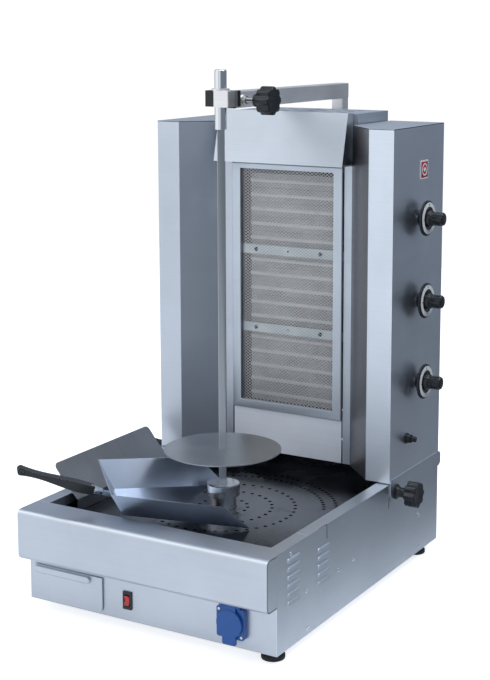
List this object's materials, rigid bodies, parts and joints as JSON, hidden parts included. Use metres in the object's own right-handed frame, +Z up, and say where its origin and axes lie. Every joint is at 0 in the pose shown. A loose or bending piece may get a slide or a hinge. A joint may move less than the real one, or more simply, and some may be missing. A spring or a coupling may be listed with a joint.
{
  "type": "vertical rotisserie broiler",
  "caption": "Countertop gas vertical broiler: burner tower on a sliding track, upright motor-driven spit with disc and top arm, drip tray, drawer, scoop and splash guard.",
  "frame": {"origin": "on the spit's axis, on the counter plane under the feet", "axes": "+X to the machine's right side with the gas knobs, +Y towards its back, +Z up along the spit"},
  "size_m": [0.5988, 0.7626, 0.941],
  "materials": {
    "stainless": "brushed stainless sheet",
    "stainless_dark": "stainless sheet darkened by heat and grease",
    "polished_steel": "polished stainless",
    "mesh_steel": "expanded steel mesh",
    "zinc": "zinc plated steel",
    "ceramic": "porous perforated ceramic",
    "brass": "machined brass",
    "motor_casting": "cast aluminium",
    "black_plastic": "moulded black phenolic",
    "rubber": "black rubber",
    "red_plastic": "translucent red plastic",
    "blue_plastic": "moulded blue plastic",
    "badge_metal": "printed aluminium plate"
  },
  "bodies": {
    "base": {"base_floor": "stainless", "base_sides": "stainless", "front_panel": "stainless", "back_panel": "stainless", "front_fascia": "stainless", "fascia_ends": "stainless", "side_rims": "stainless", "drip_pan": "stainless_dark", "perforated_plate": "stainless_dark", "feet": "rubber", "gearmotor": "motor_casting", "hub_housing": "polished_steel", "switch_frame": "black_plastic", "socket_body": "blue_plastic", "socket_hinge_pin": "zinc", "cable_gland": "black_plastic", "base_screws": "zinc"},
    "drive": {"drive_cap": "polished_steel"},
    "spit": {"spit_bar": "polished_steel", "meat_disc": "polished_steel"},
    "tower": {"wing_left": "stainless", "wing_right": "stainless", "wing_caps": "stainless", "skirts": "stainless", "tower_back": "stainless", "hood": "stainless", "flue_box": "stainless", "lower_panel": "stainless", "side_strips": "stainless", "guard_frame": "stainless", "guard_mesh": "mesh_steel", "burner_housings": "stainless", "ceramic_plaques": "ceramic", "burner_straps": "zinc", "gas_manifold": "brass", "gas_valves": "brass", "igniter_body": "black_plastic", "badge": "badge_metal", "arm_tube": "stainless", "arm_post": "stainless", "arm_end_plug": "black_plastic"},
    "valve_1": {"valve_spindle_1": "polished_steel"},
    "valve_2": {"valve_spindle_2": "polished_steel"},
    "valve_3": {"valve_spindle_3": "polished_steel"},
    "knob_1": {"gas_knob_1": "black_plastic"},
    "knob_2": {"gas_knob_2": "black_plastic"},
    "knob_3": {"gas_knob_3": "black_plastic"},
    "igniter": {"igniter_button": "black_plastic"},
    "clamp_left": {"clamp_knob_left": "black_plastic"},
    "clamp_right": {"clamp_knob_right": "black_plastic"},
    "arm_lock": {"arm_lock_knob": "black_plastic"},
    "arm_bar": {"arm_inner_bar": "zinc", "bearing_block": "black_plastic", "bearing_keeper": "polished_steel"},
    "rocker": {"switch_rocker": "red_plastic"},
    "lid": {"socket_lid": "blue_plastic"},
    "drawer": {"grease_drawer": "stainless"},
    "splash": {"splash_guard": "stainless"},
    "scoop": {"scoop_pan": "polished_steel", "scoop_handle": "black_plastic"}
  },
  "joints": [
    {"name": "tower_slide", "type": "slide", "parent": "base", "child": "tower", "axis": [0, 1, 0], "range_m": [0, 0.14]},
    {"name": "arm_bar_slide", "type": "slide", "parent": "tower", "child": "arm_bar", "axis": [0, -1, 0], "range_m": [0, 0.14]},
    {"name": "drive_turn", "type": "hinge", "parent": "base", "child": "drive", "pos_m": [0, 0, 0.19], "axis": [0, 0, 1], "continuous": true},
    {"name": "spit_lift", "type": "slide", "parent": "drive", "child": "spit", "axis": [0, 0, 1], "range_m": [0, 0.035]},
    {"name": "igniter_push", "type": "slide", "parent": "tower", "child": "igniter", "axis": [-1, 0, 0], "range_m": [0, 0.006], "stiffness_N_per_m": 600},
    {"name": "clamp_turn_left", "type": "hinge", "parent": "tower", "child": "clamp_left", "pos_m": [-0.2515, 0.197, 0.171], "axis": [-1, 0, 0], "range_deg": [0, 360]},
    {"name": "clamp_turn_right", "type": "hinge", "parent": "tower", "child": "clamp_right", "pos_m": [0.2515, 0.197, 0.171], "axis": [1, 0, 0], "range_deg": [0, 360]},
    {"name": "arm_lock_turn", "type": "hinge", "parent": "tower", "child": "arm_lock", "pos_m": [0.0125, 0.051, 0.887], "axis": [1, 0, 0], "range_deg": [0, 360]},
    {"name": "rocker_tilt", "type": "hinge", "parent": "base", "child": "rocker", "pos_m": [-0.041, -0.236, 0.0565], "axis": [1, 0, 0], "range_deg": [-7, 7]},
    {"name": "lid_swing", "type": "hinge", "parent": "base", "child": "lid", "pos_m": [0.168, -0.2505, 0.094], "axis": [-1, 0, 0], "range_deg": [0, 88], "stiffness_Nm_per_rad": 0.02, "springref_deg": -28.65},
    {"name": "drawer_slide", "type": "slide", "parent": "base", "child": "drawer", "axis": [0, -1, 0], "range_m": [0, 0.25]},
    {"name": "splash_lift", "type": "slide", "parent": "base", "child": "splash", "axis": [0, 0, 1], "range_m": [0, 0.2]},
    {"name": "scoop_lift", "type": "slide", "parent": "base", "child": "scoop", "axis": [-0.6688, -0.6761, 0.309], "range_m": [0, 0.3]},
    {"name": "valve_turn_1", "type": "hinge", "parent": "tower", "child": "valve_1", "pos_m": [0.25, 0.283, 0.668], "axis": [1, 0, 0], "range_deg": [0, 180]},
    {"name": "knob_push_1", "type": "slide", "parent": "valve_1", "child": "knob_1", "axis": [-1, 0, 0], "range_m": [0, 0.003], "stiffness_N_per_m": 1200},
    {"name": "valve_turn_2", "type": "hinge", "parent": "tower", "child": "valve_2", "pos_m": [0.25, 0.283, 0.515], "axis": [1, 0, 0], "range_deg": [0, 180]},
    {"name": "knob_push_2", "type": "slide", "parent": "valve_2", "child": "knob_2", "axis": [-1, 0, 0], "range_m": [0, 0.003], "stiffness_N_per_m": 1200},
    {"name": "valve_turn_3", "type": "hinge", "parent": "tower", "child": "valve_3", "pos_m": [0.25, 0.283, 0.362], "axis": [1, 0, 0], "range_deg": [0, 180]},
    {"name": "knob_push_3", "type": "slide", "parent": "valve_3", "child": "knob_3", "axis": [-1, 0, 0], "range_m": [0, 0.003], "stiffness_N_per_m": 1200}
  ],
  "couplings": [
    {"joint": "arm_bar_slide", "follows": "tower_slide", "ratio": 1}
  ]
}
